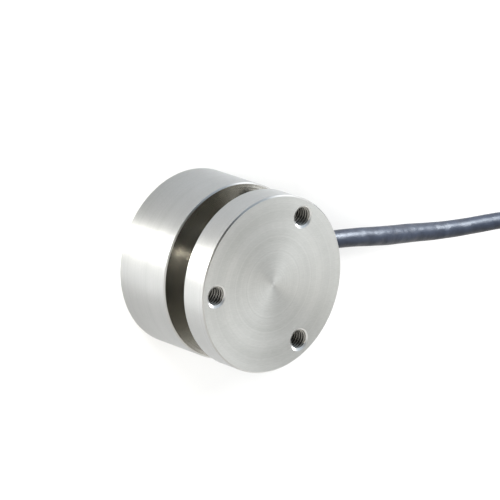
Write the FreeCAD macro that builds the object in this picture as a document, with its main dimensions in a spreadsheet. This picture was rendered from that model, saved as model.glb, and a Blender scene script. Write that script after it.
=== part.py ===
import FreeCAD, Part
import math
import os
import Sketcher

# Weighing load cell: a turned stainless spring body, gauged inside, with a gland and a signal cable.
# The load axis is +Z, the base face lies at Z = 0 and the cable leaves along +X. Lengths in millimetres.

SIZES = {
    # Spring body
    "body_diameter": 42.0,
    "flange_thickness": 7.0,
    "groove_width": 6.7,
    "housing_height": 16.3,
    "neck_diameter": 14.0,
    "neck_fillet": 1.2,
    "flange_chamfer": 0.3,
    "rim_break": 0.3,
    "base_break": 0.4,
    "diaphragm_thickness": 3.0,
    "housing_wall": 9.0,
    "cavity_fillet": 0.6,
    # Tapped holes of the load face and the base face, each circle by its distance from the body's edge
    "load_bolt_edge": 4.0,
    "base_bolt_edge": 5.0,
    "bolt_count": 3,
    "tap_drill": 4.2,
    "countersink_diameter": 5.5,
    "base_hole_depth": 9.0,
    # Base cover
    "cover_ledge": 0.5,
    "cover_thickness": 2.2,
    "cover_recess": 0.2,
    "cover_clearance": 0.05,
    "cover_edge": 0.3,
    # Cable gland
    "cable_height": 8.15,
    "spot_diameter": 13.2,
    "spot_depth": 1.2,
    "gland_thread": 8.0,
    "gland_thread_depth": 6.2,
    "shank_length": 5.6,
    "thread_clearance": 0.05,
    "gland_flats": 11.0,
    "gland_hexagon": 2.5,
    "nose_diameter": 7.6,
    "nose_length": 5.0,
    "nut_flats": 10.0,
    "nut_end_wall": 2.6,
    "nut_dome": 1.2,
    "corner_chamfer": 0.4,
    "ring_section": 0.8,
    "ring_clearance": 0.05,
    "seal_length": 4.0,
    "seal_wall": 0.9,
    "seal_taper": 0.35,
    # Cable
    "cable_diameter": 4.2,
    "cable_clearance": 0.2,
    "grip_clearance": 0.02,
    "ferrule_length": 2.8,
    "ferrule_wall": 1.0,
    "sheath_reach": 4.4,
    # Gauges, board and inner wiring
    "gauge_length": 4.0,
    "gauge_width": 3.0,
    "gauge_thickness": 0.08,
    "gauge_inset": 2.8,
    "board_gap": 1.2,
    "board_thickness": 0.8,
    "resistor_length": 2.0,
    "resistor_width": 1.2,
    "resistor_height": 0.55,
    "gauge_wire": 0.24,
    "gauge_wire_pitch": 1.6,
    "gauge_wire_lap": 0.8,
    "wire_clearance": 0.01,
    "core_diameter": 1.0,
    "core_pitch": 1.1,
    "core_bend": 1.6,
    # Coil of spare cable and its tie
    "coil_center_x": 136.0,
    "coil_center_y": 10.3,
    "coil_radius": 24.5,
    "coil_columns": 3,
    "coil_layers": 4,
    "turn_gap": 0.05,
    "coil_slack": 0.5,
    "coil_headroom": 0.1,
    "coil_corner": 1.0,
    "tie_thickness": 0.9,
    "tie_angle": 18.0,
    # Cable end
    "sleeve_wall": 0.5,
    "sleeve_back": 4.3,
    "sleeve_front": 3.5,
    "lead_diameter": 1.1,
    "screen_diameter": 0.8,
    "tip_diameter": 0.6,
    "tip_length": 5.0,
}

GAUGE_ANGLES = (45.0, 135.0, 225.0, 315.0)
HEXAGON_SIDES = 6
BOLT_START_ANGLE = 60.0
COUNTERSINK_ANGLE = 120.0
TIE_START_ANGLE = 308.0

# Places on the terminal board as shares of its radius
RESISTOR_PLACE = 0.4
NEAR_RISER_PLACE = 0.8
FAR_RISER_PLACE = 0.5

# Route of the cable after the gland's mouth, up to the coil, and of its tail from the coil to its end
RUN_POINTS = [
    (42.0, 0.0, 8.15),
    (55.0, -1.9, 6.6),
    (68.0, -3.6, 3.4),
    (80.0, -4.8, 2.15),
    (92.0, -5.2, 2.15),
    (105.0, -5.3, 2.15),
    (121.4, -14.9, 2.15),
    (136.0, -19.2, 2.15),
    (150.3, -14.7, 2.15),
]
TAIL_POINTS = [
    (162.8, -0.5, 14.75),
    (164.9, 12.3, 16.4),
    (161.3, 22.7, 18.9),
    (153.7, 30.0, 19.1),
    (144.8, 34.4, 19.1),
    (136.0, 35.7, 19.55),
    (128.2, 34.4, 19.6),
]
LEAD_POINTS = {
    "lead_red": [(127.9, 34.9, 20.2), (120.9, 34.2, 20.2), (110.7, 24.9, 17.5), (106.8, 9.3, 17.5)],
    "lead_green": [(127.9, 34.9, 19.0), (121.0, 33.8, 18.9), (112.4, 24.0, 17.5), (108.8, 8.4, 17.5)],
    "screen_lead": [(128.0, 34.3, 18.1), (121.1, 33.2, 18.1), (114.0, 23.0, 17.3), (110.8, 7.2, 17.3)],
    "lead_white": [(128.0, 33.8, 19.0), (121.2, 32.6, 18.9), (115.7, 22.0, 17.5), (113.0, 6.2, 17.5)],
    "lead_black": [(128.0, 33.8, 20.2), (121.3, 32.2, 20.2), (117.5, 21.0, 17.5), (115.2, 5.1, 17.5)],
}
ARC_SHARE = 0.45

doc = FreeCAD.newDocument("load_cell")
sheet = doc.addObject("Spreadsheet::Sheet", "Sizes")
for row, (alias, number) in enumerate(SIZES.items(), start=1):
    sheet.set(f"A{row}", alias)
    sheet.set(f"B{row}", str(number))
    sheet.setAlias(f"B{row}", alias)
doc.recompute()

sub_parts = []


class Length:
    """A length in millimetres that carries the sheet formula it is worked out by."""

    def __init__(self, value, formula):
        self.value = value
        self.formula = formula

    def joined(self, sign, other, value):
        formula = other.formula if isinstance(other, Length) else repr(other)
        return Length(value, f"({self.formula} {sign} {formula})")

    def __add__(self, other):
        return self.joined("+", other, self.value + number_of(other))

    def __sub__(self, other):
        return self.joined("-", other, self.value - number_of(other))

    def __mul__(self, other):
        return self.joined("*", other, self.value * number_of(other))

    def __truediv__(self, other):
        return self.joined("/", other, self.value / number_of(other))

    def __neg__(self):
        return self * -1


def number_of(length):
    return length.value if isinstance(length, Length) else length


def size(alias):
    """The named size of the sheet as a Length."""
    return Length(float(getattr(sheet, alias)), f"Sizes.{alias}")


def bind(feature, **lengths):
    """Binds properties of a feature to the sheet; a double underscore stands for a dot."""
    for name, length in lengths.items():
        feature.setExpression(name.replace("__", "."), length.formula)


def new_body(label):
    body = doc.addObject("PartDesign::Body", label)
    body.Label = label
    return body


def keep(sub_part, label):
    """Names a finished sub-part and puts it on the list that is written out."""
    sub_part.Label = label
    sub_parts.append(sub_part)
    return sub_part


def plane_of(body, role):
    return next(plane for plane in body.Origin.OriginFeatures if plane.Role == role)


def new_sketch(body, name, role, offset=None):
    """An empty sketch on one of the body's own planes, moved along the plane's normal by offset."""
    sketch = body.newObject("Sketcher::SketchObject", name)
    sketch.AttachmentSupport = (plane_of(body, role), [""])
    sketch.MapMode = "FlatFace"
    if offset is not None:
        bind(sketch, AttachmentOffset__Base__z=offset)
    return sketch


def pin(sketch, line, direction, coordinate):
    """Fixes one coordinate of a line's start point, on the axis or by a bound distance from the origin."""
    if number_of(coordinate) == 0:
        axis = -2 if direction == "DistanceX" else -1
        sketch.addConstraint(Sketcher.Constraint("PointOnObject", line, 1, axis))
        return
    index = sketch.addConstraint(Sketcher.Constraint(direction, -1, 1, line, 1, coordinate.value))
    sketch.setExpression(f"Constraints[{index}]", coordinate.formula)


def add_outline(sketch, corners):
    """A closed outline of straight lines through corners, each pinned to the sheet."""
    points = [FreeCAD.Vector(number_of(across), number_of(along), 0) for across, along in corners]
    lines = []
    for start, end in zip(points, points[1:] + points[:1]):
        lines.append(sketch.addGeometry(Part.LineSegment(start, end), False))
    for line, follower in zip(lines, lines[1:] + lines[:1]):
        sketch.addConstraint(Sketcher.Constraint("Coincident", line, 2, follower, 1))
    for line, (across, along) in zip(lines, corners):
        pin(sketch, line, "DistanceX", across)
        pin(sketch, line, "DistanceY", along)


def add_circle(sketch, radius, across, along):
    """A circle of a bound radius about a bound centre."""
    center = FreeCAD.Vector(number_of(across), number_of(along), 0)
    circle = sketch.addGeometry(Part.Circle(center, FreeCAD.Vector(0, 0, 1), radius.value), False)
    index = sketch.addConstraint(Sketcher.Constraint("Radius", circle, radius.value))
    sketch.setExpression(f"Constraints[{index}]", radius.formula)
    for direction, coordinate, axis in (("DistanceX", across, -2), ("DistanceY", along, -1)):
        if number_of(coordinate) == 0:
            sketch.addConstraint(Sketcher.Constraint("PointOnObject", circle, 3, axis))
            continue
        constraint = Sketcher.Constraint(direction, -1, 1, circle, 3, coordinate.value)
        index = sketch.addConstraint(constraint)
        sketch.setExpression(f"Constraints[{index}]", coordinate.formula)


def turn(body, corners, angle=None):
    """Revolves an outline of (radius, height) corners about the body's Z axis."""
    sketch = new_sketch(body, f"{body.Label}_profile", "XZ_Plane")
    add_outline(sketch, corners)
    return revolve(body, sketch, angle)


def revolve(body, sketch, angle=None):
    revolution = body.newObject("PartDesign::Revolution", f"{body.Label}_turned")
    revolution.Profile = sketch
    revolution.ReferenceAxis = (sketch, ["V_Axis"])
    if angle is None:
        revolution.Angle = 360
    else:
        bind(revolution, Angle=angle)
    doc.recompute()
    return revolution


def lay_along_x(body):
    """Turns a body made about Z so that its axis is the cable's axis, with its Z as the part's X."""
    body.Placement = FreeCAD.Placement(FreeCAD.Vector(), FreeCAD.Rotation(FreeCAD.Vector(0, 1, 0), 90))
    bind(body, Placement__Base__z=size("cable_height"))


def circular_edges(shape, radius, height):
    """Names of the level circular edges with this radius at this height."""
    names = []
    for index, edge in enumerate(shape.Edges, start=1):
        if not isinstance(edge.Curve, Part.Circle):
            continue
        same_radius = math.isclose(edge.Curve.Radius, radius.value, abs_tol=1e-4)
        if same_radius and math.isclose(edge.Curve.Center.z, height.value, abs_tol=1e-4):
            names.append(f"Edge{index}")
    return names


def round_edges(body, base, name, radius, places):
    """Fillets the level circular edges at the given (radius, height) places."""
    fillet = body.newObject("PartDesign::Fillet", name)
    names = [edge for place in places for edge in circular_edges(base.Shape, *place)]
    fillet.Base = (base, names)
    bind(fillet, Radius=radius)
    doc.recompute()
    return fillet


def cut_flats(body, name, flats, start, length, beyond):
    """Cuts a hexagon across the given flats out of a turned body, between two heights."""
    sketch = new_sketch(body, f"{name}_outline", "XY_Plane", start)
    corner_radius = flats / (2 * math.cos(math.pi / HEXAGON_SIDES))
    corners = []
    for side in range(HEXAGON_SIDES):
        angle = math.radians(360 / HEXAGON_SIDES * (side + 0.5))
        across = corner_radius * math.cos(angle)
        corners.append((0 if side % 3 == 1 else across, corner_radius * math.sin(angle)))
    add_outline(sketch, corners)
    add_circle(sketch, beyond, 0, 0)
    pocket = body.newObject("PartDesign::Pocket", name)
    pocket.Profile = sketch
    pocket.Reversed = True
    bind(pocket, Length=length)
    doc.recompute()
    return pocket


def bore_from_side(body, name, radius, start, length):
    """Bores a round hole along +X at the cable's height, from start over length."""
    bore = body.newObject("PartDesign::SubtractiveCylinder", name)
    bore.AttachmentSupport = (plane_of(body, "YZ_Plane"), [""])
    bore.MapMode = "FlatFace"
    bind(bore, Radius=radius, Height=length)
    bind(bore, AttachmentOffset__Base__y=size("cable_height"), AttachmentOffset__Base__z=start)
    doc.recompute()
    return bore


def tap_holes(body, name, circle_radius, height, depth, upwards):
    """Drills and countersinks one tapped hole and repeats it round the bolt circle."""
    sketch = new_sketch(body, f"{name}_place", "XY_Plane", height)
    across = circle_radius * math.cos(math.radians(BOLT_START_ANGLE))
    along = circle_radius * math.sin(math.radians(BOLT_START_ANGLE))
    add_circle(sketch, size("tap_drill") / 2, across, along)
    doc.recompute()
    hole = body.newObject("PartDesign::Hole", f"{name}_hole")
    hole.Profile = sketch
    hole.Reversed = upwards
    hole.DepthType = "Dimension"
    hole.DrillPoint = "Angled" if upwards else "Flat"
    hole.HoleCutType = "Countersink"
    hole.HoleCutCountersinkAngle = COUNTERSINK_ANGLE
    bind(hole, Diameter=size("tap_drill"), Depth=depth, HoleCutDiameter=size("countersink_diameter"))
    doc.recompute()
    pattern = body.newObject("PartDesign::PolarPattern", f"{name}_pattern")
    pattern.Originals = [hole]
    pattern.Axis = (sketch, ["N_Axis"])
    pattern.Angle = 360
    bind(pattern, Occurrences=size("bolt_count"))
    body.Tip = pattern
    doc.recompute()
    return pattern


# Heights and radii that several pieces share
body_radius = size("body_diameter") / 2
groove_top = size("housing_height") + size("groove_width")
total_height = groove_top + size("flange_thickness")
ceiling = size("housing_height") - size("diaphragm_thickness")
cavity_radius = body_radius - size("housing_wall")
seat_radius = cavity_radius + size("cover_ledge")
cover_seat = size("cover_recess") + size("cover_thickness")
gauge_middle = cavity_radius - size("gauge_inset")
board_radius = gauge_middle - size("gauge_length") / 2 - size("board_gap")
sheath_end = cavity_radius - size("sheath_reach")
cable_radius = size("cable_diameter") / 2
cable_bore = cable_radius + size("cable_clearance")
gland_seat = body_radius - size("spot_depth")
hexagon_end = gland_seat + size("gland_hexagon")
nose_end = hexagon_end + size("nose_length")
nut_end = nose_end + size("nut_end_wall")


def make_spring_body():
    """Load flange, neck, diaphragm and housing, turned in one piece, then drilled and tapped."""
    body = new_body("spring_body")
    neck_radius = size("neck_diameter") / 2
    rim_break = size("rim_break")
    base_break = size("base_break")
    chamfer = size("flange_chamfer")
    housing_top = size("housing_height")
    turned = turn(body, [
        (seat_radius, 0),
        (body_radius - base_break, 0),
        (body_radius, base_break),
        (body_radius, housing_top - rim_break),
        (body_radius - rim_break, housing_top),
        (neck_radius, housing_top),
        (neck_radius, groove_top),
        (body_radius - rim_break, groove_top),
        (body_radius, groove_top + rim_break),
        (body_radius, total_height - chamfer),
        (body_radius - chamfer, total_height),
        (0, total_height),
        (0, ceiling),
        (cavity_radius, ceiling),
        (cavity_radius, cover_seat),
        (seat_radius, cover_seat),
    ])
    neck_ends = [(neck_radius, housing_top), (neck_radius, groove_top)]
    rounded = round_edges(body, turned, "neck_rounding", size("neck_fillet"), neck_ends)
    round_edges(body, rounded, "cavity_rounding", size("cavity_fillet"), [(cavity_radius, ceiling)])
    load_circle = body_radius - size("load_bolt_edge")
    base_circle = body_radius - size("base_bolt_edge")
    tap_holes(body, "load_bolts", load_circle, total_height, size("flange_thickness"), upwards=False)
    tap_holes(body, "base_bolts", base_circle, Length(0, "0"), size("base_hole_depth"), upwards=True)
    thread_start = gland_seat - size("gland_thread_depth")
    bore_from_side(body, "gland_spot_face", size("spot_diameter") / 2, gland_seat, body_radius)
    bore_from_side(body, "gland_hole", size("gland_thread") / 2, thread_start, body_radius)
    passage_start = cavity_radius / 2
    bore_from_side(body, "cable_passage", cable_bore, passage_start, body_radius)
    return keep(body, "spring_body")


def make_base_cover():
    """Disc that closes the cavity, pressed into its seat a little above the base face."""
    body = new_body("base_cover")
    radius = seat_radius - size("cover_clearance")
    recess = size("cover_recess")
    edge = size("cover_edge")
    turn(body, [
        (0, recess),
        (radius - edge, recess),
        (radius, recess + edge),
        (radius, cover_seat),
        (0, cover_seat),
    ])
    return keep(body, "base_cover")


def make_gland_body():
    """Threaded shank, hexagon with a ring groove under it, and the nose that holds the seal."""
    body = new_body("gland_body")
    shank_radius = size("gland_thread") / 2 - size("thread_clearance")
    ring_width = size("ring_section") + size("ring_clearance") * 2
    groove_radius = shank_radius + ring_width
    corner = size("gland_flats") / (2 * math.cos(math.pi / HEXAGON_SIDES))
    chamfer = size("corner_chamfer")
    nose_radius = size("nose_diameter") / 2
    seal_seat = nose_end - size("seal_length")
    seal_radius = cable_radius + size("seal_wall")
    shank_start = gland_seat - size("shank_length")
    turn(body, [
        (cable_bore, shank_start),
        (shank_radius - chamfer, shank_start),
        (shank_radius, shank_start + chamfer),
        (shank_radius, gland_seat + ring_width),
        (groove_radius, gland_seat + ring_width),
        (groove_radius, gland_seat),
        (corner, gland_seat),
        (corner, hexagon_end - chamfer / 2),
        (corner - chamfer, hexagon_end),
        (nose_radius, hexagon_end),
        (nose_radius, nose_end - chamfer),
        (nose_radius - chamfer, nose_end),
        (seal_radius, nose_end),
        (seal_radius, seal_seat),
        (cable_bore, seal_seat),
    ])
    cut_flats(body, "gland_hexagon", size("gland_flats"), gland_seat, size("gland_hexagon"), corner * 2)
    lay_along_x(body)
    return keep(body, "gland_body")


def make_gland_nut():
    """Cap nut that presses the seal onto the cable."""
    body = new_body("gland_nut")
    corner = size("nut_flats") / (2 * math.cos(math.pi / HEXAGON_SIDES))
    chamfer = size("corner_chamfer")
    thread_radius = size("nose_diameter") / 2 + size("thread_clearance")
    nut_start = hexagon_end + size("corner_chamfer")
    dome = size("nut_dome")
    turn(body, [
        (thread_radius, nut_start),
        (corner - chamfer, nut_start),
        (corner, nut_start + chamfer / 2),
        (corner, nut_end - dome),
        (corner - dome, nut_end - chamfer),
        (corner - dome - chamfer, nut_end),
        (cable_bore + chamfer, nut_end),
        (cable_bore, nut_end - chamfer),
        (cable_bore, nose_end + size("thread_clearance")),
        (thread_radius, nose_end + size("thread_clearance")),
    ])
    flats_length = nut_end - dome - nut_start
    cut_flats(body, "nut_flats_cut", size("nut_flats"), nut_start, flats_length, corner * 2)
    lay_along_x(body)
    return keep(body, "gland_nut")


def make_gland_seal():
    """Rubber sleeve between the gland's nose and the cable, tapered at its inner end."""
    body = new_body("gland_seal")
    inner = cable_radius + size("grip_clearance")
    outer = cable_radius + size("seal_wall") - size("grip_clearance")
    taper = size("seal_taper")
    start = nose_end - size("seal_length")
    turn(body, [
        (inner, start),
        (outer - taper, start),
        (outer, start + taper * 2),
        (outer, nose_end),
        (inner, nose_end),
    ])
    lay_along_x(body)
    return keep(body, "gland_seal")


def make_gland_ring():
    """Sealing ring in the groove under the gland's hexagon."""
    ring = doc.addObject("Part::Torus", "gland_ring")
    section = size("ring_section") / 2
    shank_radius = size("gland_thread") / 2 - size("thread_clearance")
    clear = size("ring_clearance")
    ring.Placement = FreeCAD.Placement(FreeCAD.Vector(), FreeCAD.Rotation(FreeCAD.Vector(0, 1, 0), 90))
    bind(ring, Radius1=shank_radius + clear + section, Radius2=section)
    bind(ring, Placement__Base__x=gland_seat + clear + section, Placement__Base__z=size("cable_height"))
    return keep(ring, "gland_ring")


def make_cable_ferrule():
    """Crimped collar on the cable, close against the cavity wall."""
    body = new_body("cable_ferrule")
    inner = cable_radius + size("grip_clearance")
    outer = inner + size("ferrule_wall")
    wall_reach = math.sqrt(cavity_radius.value ** 2 - outer.value ** 2) / cavity_radius.value
    end = cavity_radius * wall_reach - size("thread_clearance")
    start = end - size("ferrule_length")
    turn(body, [(inner, start), (outer, start), (outer, end), (inner, end)])
    lay_along_x(body)
    return keep(body, "cable_ferrule")


def make_cable_inner_end():
    """The cable inside the gland and the wall, up to where its sheath is stripped."""
    stub = doc.addObject("Part::Cylinder", "cable_inner_end")
    stub.Placement = FreeCAD.Placement(FreeCAD.Vector(), FreeCAD.Rotation(FreeCAD.Vector(0, 1, 0), 90))
    bind(stub, Radius=cable_radius, Height=nut_end - sheath_end)
    bind(stub, Placement__Base__x=sheath_end, Placement__Base__z=size("cable_height"))
    return keep(stub, "cable_inner_end")


def make_gauges():
    """Four foil gauges under the diaphragm and the pair of wires from each to the board."""
    half_length = size("gauge_length") / 2
    half_width = size("gauge_width") / 2
    wire_radius = size("gauge_wire") / 2
    board_edge = board_radius + size("wire_clearance")
    wire_height = ceiling - size("gauge_thickness") - size("wire_clearance") - wire_radius
    wire_length = gauge_middle - half_length + size("gauge_wire_lap") - board_edge
    for number, angle in enumerate(GAUGE_ANGLES, start=1):
        turned = FreeCAD.Rotation(FreeCAD.Vector(0, 0, 1), angle)
        gauge = new_body(f"strain_gauge_{number}")
        sketch = new_sketch(gauge, f"gauge_outline_{number}", "XY_Plane")
        add_outline(sketch, [
            (gauge_middle - half_length, -half_width),
            (gauge_middle + half_length, -half_width),
            (gauge_middle + half_length, half_width),
            (gauge_middle - half_length, half_width),
        ])
        foil = gauge.newObject("PartDesign::Pad", f"gauge_foil_{number}")
        foil.Profile = sketch
        bind(foil, Length=size("gauge_thickness"))
        gauge.Placement = FreeCAD.Placement(FreeCAD.Vector(), turned)
        bind(gauge, Placement__Base__z=ceiling - size("gauge_thickness"))
        keep(gauge, f"strain_gauge_{number}")

        wires = new_body(f"gauge_wires_{number}")
        section = new_sketch(wires, f"wire_section_{number}", "YZ_Plane", board_edge)
        for side in (-0.5, 0.5):
            add_circle(section, wire_radius, size("gauge_wire_pitch") * side, wire_height)
        pair = wires.newObject("PartDesign::Pad", f"wire_pair_{number}")
        pair.Profile = section
        bind(pair, Length=wire_length)
        wires.Placement = FreeCAD.Placement(FreeCAD.Vector(), turned)
        keep(wires, f"gauge_wires_{number}")


def make_board():
    """Round terminal board bonded under the hub, with its two resistors."""
    board = doc.addObject("Part::Cylinder", "terminal_board")
    board_bottom = ceiling - size("board_thickness")
    offset = board_radius * RESISTOR_PLACE
    bind(board, Radius=board_radius, Height=size("board_thickness"))
    bind(board, Placement__Base__z=board_bottom)
    keep(board, "terminal_board")
    for label, side in (("zero_resistor", 1), ("span_resistor", -1)):
        chip = doc.addObject("Part::Box", label)
        bind(chip, Length=size("resistor_length"), Width=size("resistor_width"), Height=size("resistor_height"))
        bind(chip, Placement__Base__x=-offset - size("resistor_length") / 2)
        bind(chip, Placement__Base__y=offset * side - size("resistor_width") / 2)
        bind(chip, Placement__Base__z=board_bottom - size("resistor_height"))
        keep(chip, label)


def rounded_path(points):
    """Straight runs joined by tangent arcs, each arc as large as its two runs allow, and the arcs' radii."""
    corners = [FreeCAD.Vector(*point) for point in points]
    edges = []
    radii = []
    start = corners[0]
    for before, corner, after in zip(corners, corners[1:], corners[2:]):
        incoming = (corner - before).normalize()
        outgoing = (after - corner).normalize()
        reach = ARC_SHARE * min(corner.distanceToPoint(before), after.distanceToPoint(corner))
        half_turn = incoming.getAngle(outgoing) / 2
        radius = reach / math.tan(half_turn)
        inward = (outgoing - incoming).normalize()
        arc_start = corner - incoming * reach
        arc_end = corner + outgoing * reach
        arc_middle = corner + inward * (radius / math.cos(half_turn) - radius)
        edges.append(Part.LineSegment(start, arc_start).toShape())
        edges.append(Part.Arc(arc_start, arc_middle, arc_end).toShape())
        radii.append(radius)
        start = arc_end
    edges.append(Part.LineSegment(start, corners[-1]).toShape())
    return Part.Wire(edges), radii


def sweep_round(name, path_shape, diameter):
    """A round bar of a bound diameter along a path."""
    path = doc.addObject("Part::Feature", f"{name}_path")
    path.Shape = path_shape
    first = path_shape.Edges[0]
    heading = first.tangentAt(first.FirstParameter)
    section = doc.addObject("Part::Circle", f"{name}_section")
    section.Placement = FreeCAD.Placement(
        first.valueAt(first.FirstParameter),
        FreeCAD.Rotation(FreeCAD.Vector(0, 0, 1), heading),
    )
    bind(section, Radius=diameter / 2)
    bar = doc.addObject("Part::Sweep", f"{name}_sweep")
    bar.Sections = [section]
    bar.Spine = (path, [])
    bar.Solid = True
    bar.Frenet = False
    doc.recompute()
    expected = path_shape.Length * math.pi * (diameter.value / 2) ** 2
    print(f"{name}: volume {bar.Shape.Volume:.2f}, section times length {expected:.2f}")
    return bar


def cord_bar(name, points, diameter):
    """A stretch of cable or lead along a hand-chosen route, with its bend radii printed."""
    path_shape, radii = rounded_path(points)
    listed = ", ".join(f"{radius:.1f}" for radius in radii)
    print(f"{name}: length {path_shape.Length:.1f}, bend radii {listed}")
    return sweep_round(name, path_shape, diameter)


def make_inner_cores():
    """Four cores that leave the stripped sheath, bend upwards and end at the board."""
    half_pitch = size("core_pitch").value / 2
    bend = size("core_bend").value
    start_x = sheath_end.value
    middle = size("cable_height").value
    top = (ceiling - size("board_thickness")).value
    rows = (
        (half_pitch, NEAR_RISER_PLACE, ("red", "black")),
        (-half_pitch, FAR_RISER_PLACE, ("green", "white")),
    )
    for lift, place, colours in rows:
        riser_x = board_radius.value * place
        for side, colour in zip((half_pitch, -half_pitch), colours):
            label = f"core_{colour}"
            level = middle + lift
            start = FreeCAD.Vector(start_x, side, level)
            bend_start = FreeCAD.Vector(riser_x + bend, side, level)
            bend_end = FreeCAD.Vector(riser_x, side, level + bend)
            inset = bend * (1 - math.sqrt(0.5))
            bend_middle = FreeCAD.Vector(riser_x + inset, side, level + inset)
            end = FreeCAD.Vector(riser_x, side, top)
            path_shape = Part.Wire([
                Part.LineSegment(start, bend_start).toShape(),
                Part.Arc(bend_start, bend_middle, bend_end).toShape(),
                Part.LineSegment(bend_end, end).toShape(),
            ])
            keep(sweep_round(label, path_shape, size("core_diameter")), label)


def ring_section(inner, outer, bottom, top, corner):
    """A rectangle of radii and heights with cut corners."""
    return [
        (inner + corner, bottom),
        (outer - corner, bottom),
        (outer, bottom + corner),
        (outer, top - corner),
        (outer - corner, top),
        (inner + corner, top),
        (inner, top - corner),
        (inner, bottom + corner),
    ]


def make_coil():
    """The coil's outer shape, notched for its tie, and the tie round it."""
    pitch = size("cable_diameter") + size("turn_gap")
    half_band = pitch * (size("coil_columns") - 1) / 2 + cable_radius + size("coil_slack")
    inner = size("coil_radius") - half_band
    outer = size("coil_radius") + half_band
    top = size("cable_diameter") * size("coil_layers") + size("coil_headroom")
    corner = size("coil_corner")
    wall = size("tie_thickness")
    section = ring_section(inner, outer, Length(0, "0"), top, corner)

    ring = new_body("coil_ring")
    turn(ring, section)
    bind(ring, Placement__Base__x=size("coil_center_x"), Placement__Base__y=size("coil_center_y"))

    tie = new_body("coil_tie")
    sketch = new_sketch(tie, "tie_profile", "XZ_Plane")
    add_outline(sketch, section)
    add_outline(sketch, ring_section(inner + wall, outer - wall, wall, top - wall, corner))
    revolve(tie, sketch, size("tie_angle"))
    tie.Placement = FreeCAD.Placement(
        FreeCAD.Vector(), FreeCAD.Rotation(FreeCAD.Vector(0, 0, 1), TIE_START_ANGLE))
    bind(tie, Placement__Base__x=size("coil_center_x"), Placement__Base__y=size("coil_center_y"))
    keep(tie, "coil_tie")

    coil = doc.addObject("Part::Cut", "cable_coil")
    coil.Base = ring
    coil.Tool = tie
    keep(coil, "cable_coil")
    return ring


def make_cable(coil_ring):
    """The run from the gland to the coil and the tail from the coil, both ending on the coil's outside."""
    mouth = (nut_end.value, 0.0, size("cable_height").value)
    for label, points in (("cable_run", [mouth] + RUN_POINTS), ("cable_tail", TAIL_POINTS)):
        stretch = doc.addObject("Part::Cut", label)
        stretch.Base = cord_bar(label, points, size("cable_diameter"))
        stretch.Tool = coil_ring
        keep(stretch, label)


def make_cable_end():
    """Shrunk sleeve over the sheath's end, the five leads and their tinned tips."""
    before, end = (FreeCAD.Vector(*point) for point in TAIL_POINTS[-2:])
    heading = (end - before).normalize()
    along = FreeCAD.Rotation(FreeCAD.Vector(0, 0, 1), heading)
    sleeve = new_body("end_sleeve")
    inner = cable_radius + size("grip_clearance")
    outer = cable_radius + size("sleeve_wall")
    back = -size("sleeve_back")
    front = size("sleeve_front")
    turn(sleeve, [(inner, back), (outer, back), (outer, front), (inner, front)])
    sleeve.Placement = FreeCAD.Placement(end, along)
    keep(sleeve, "end_sleeve")

    tips = []
    for label, points in LEAD_POINTS.items():
        diameter = size("screen_diameter") if label == "screen_lead" else size("lead_diameter")
        keep(cord_bar(label, points, diameter), label)
        last_run, tip_base = (FreeCAD.Vector(*point) for point in points[-2:])
        tip = doc.addObject("Part::Cylinder", f"{label}_tip")
        bind(tip, Radius=size("tip_diameter") / 2, Height=size("tip_length"))
        tip.Placement = FreeCAD.Placement(
            tip_base, FreeCAD.Rotation(FreeCAD.Vector(0, 0, 1), tip_base - last_run))
        tips.append(tip)
    group = doc.addObject("Part::Compound", "lead_tips")
    group.Links = tips
    keep(group, "lead_tips")


def write_parts():
    """Checks every object of the document, then writes each sub-part to its own file."""
    doc.recompute()
    for item in doc.Objects:
        if "Invalid" in item.State or "Error" in item.State:
            raise RuntimeError(f"{item.Label} failed: {item.State}")
    for sub_part in sub_parts:
        if sub_part.Shape.isNull() or not sub_part.Shape.isValid():
            raise RuntimeError(f"{sub_part.Label} has no valid shape")
    os.makedirs("parts", exist_ok=True)
    for sub_part in sub_parts:
        sub_part.Shape.exportStep(f"parts/{sub_part.Label}.step")
        solids = len(sub_part.Shape.Solids)
        print(f"{sub_part.Label}: {solids} solid(s), {sub_part.Shape.Volume:.2f} cubic millimetres")


make_spring_body()
make_base_cover()
make_gland_body()
make_gland_ring()
make_gland_seal()
make_gland_nut()
make_cable_ferrule()
make_cable_inner_end()
make_gauges()
make_board()
make_inner_cores()
coil_ring = make_coil()
make_cable(coil_ring)
make_cable_end()
write_parts()
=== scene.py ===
import math

import bmesh
import bpy
import numpy as np
from mathutils import Matrix, Vector


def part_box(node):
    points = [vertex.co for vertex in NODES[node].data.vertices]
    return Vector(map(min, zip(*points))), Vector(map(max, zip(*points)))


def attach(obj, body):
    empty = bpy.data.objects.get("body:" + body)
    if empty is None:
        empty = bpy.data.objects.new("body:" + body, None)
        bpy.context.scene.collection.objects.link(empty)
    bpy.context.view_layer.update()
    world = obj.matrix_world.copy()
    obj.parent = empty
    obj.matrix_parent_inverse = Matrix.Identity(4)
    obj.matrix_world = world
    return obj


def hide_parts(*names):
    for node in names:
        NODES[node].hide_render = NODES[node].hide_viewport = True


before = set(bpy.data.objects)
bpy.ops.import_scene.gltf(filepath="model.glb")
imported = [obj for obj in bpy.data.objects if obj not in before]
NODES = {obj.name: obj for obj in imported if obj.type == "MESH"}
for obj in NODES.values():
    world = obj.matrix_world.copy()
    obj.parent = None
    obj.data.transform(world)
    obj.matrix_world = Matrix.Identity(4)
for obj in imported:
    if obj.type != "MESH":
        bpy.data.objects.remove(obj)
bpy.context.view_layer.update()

SCENE = bpy.context.scene
TURN = 2 * math.pi
WHITE = (1.0, 1.0, 1.0, 1.0)

# View of the photograph: a long lens, rolled so that the load axis points to the right
VIEW_TARGET = np.array([0.00408, 0.00456, 0.01700])
VIEW_AZIMUTH = math.radians(156.86)
VIEW_ELEVATION = math.radians(46.36)
VIEW_ROLL = math.radians(108.78)
VIEW_DISTANCE = 0.927
VIEW_LENS = 288.0
VIEW_SENSOR = 36.0

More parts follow.
